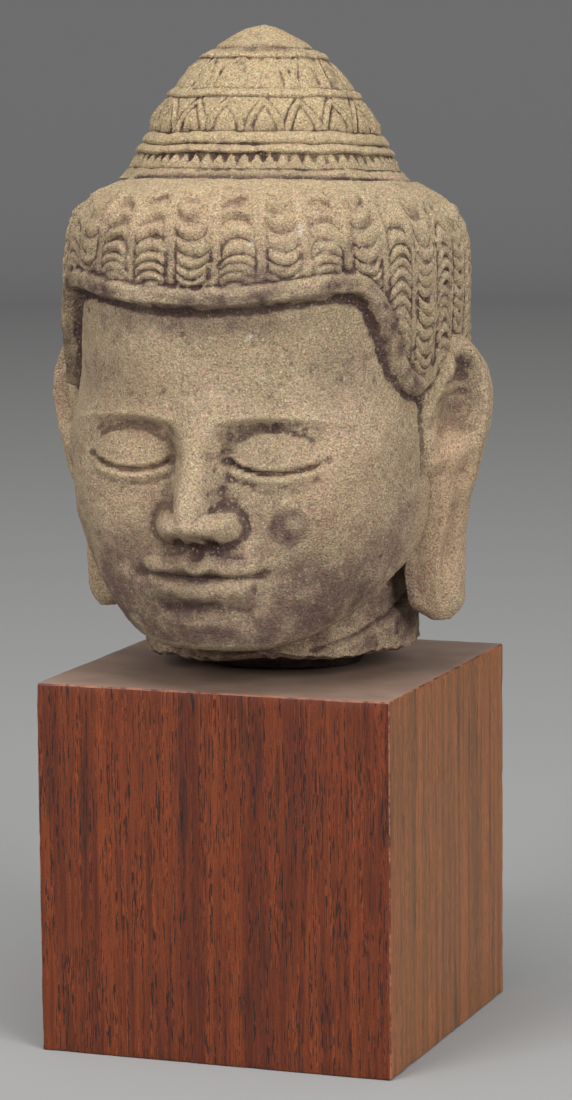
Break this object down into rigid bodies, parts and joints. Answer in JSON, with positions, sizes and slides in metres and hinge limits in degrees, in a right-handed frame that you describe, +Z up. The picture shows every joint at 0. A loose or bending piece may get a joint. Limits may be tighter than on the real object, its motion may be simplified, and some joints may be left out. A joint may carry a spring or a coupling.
{
  "type": "stone head sculpture",
  "caption": "Carved sandstone head with crescent curls, tiered topknot, long ears and a broken neck, resting on a wooden plinth.",
  "frame": {"origin": "centre of the plinth's underside", "axes": "+Z up, the face and the plinth's front look along -Y, +X is the head's left ear"},
  "size_m": [0.1021, 0.1034, 0.2248],
  "materials": {
    "sandstone": "coarse-grained buff sandstone, matte and weathered, with purple-grey stains in the hollows",
    "plinth_wood": "red-brown open-pored veneer with a satin finish, worn along the top edges"
  },
  "bodies": {
    "root": {"stone_head": "sandstone", "wooden_plinth": "plinth_wood"}
  },
  "joints": []
}
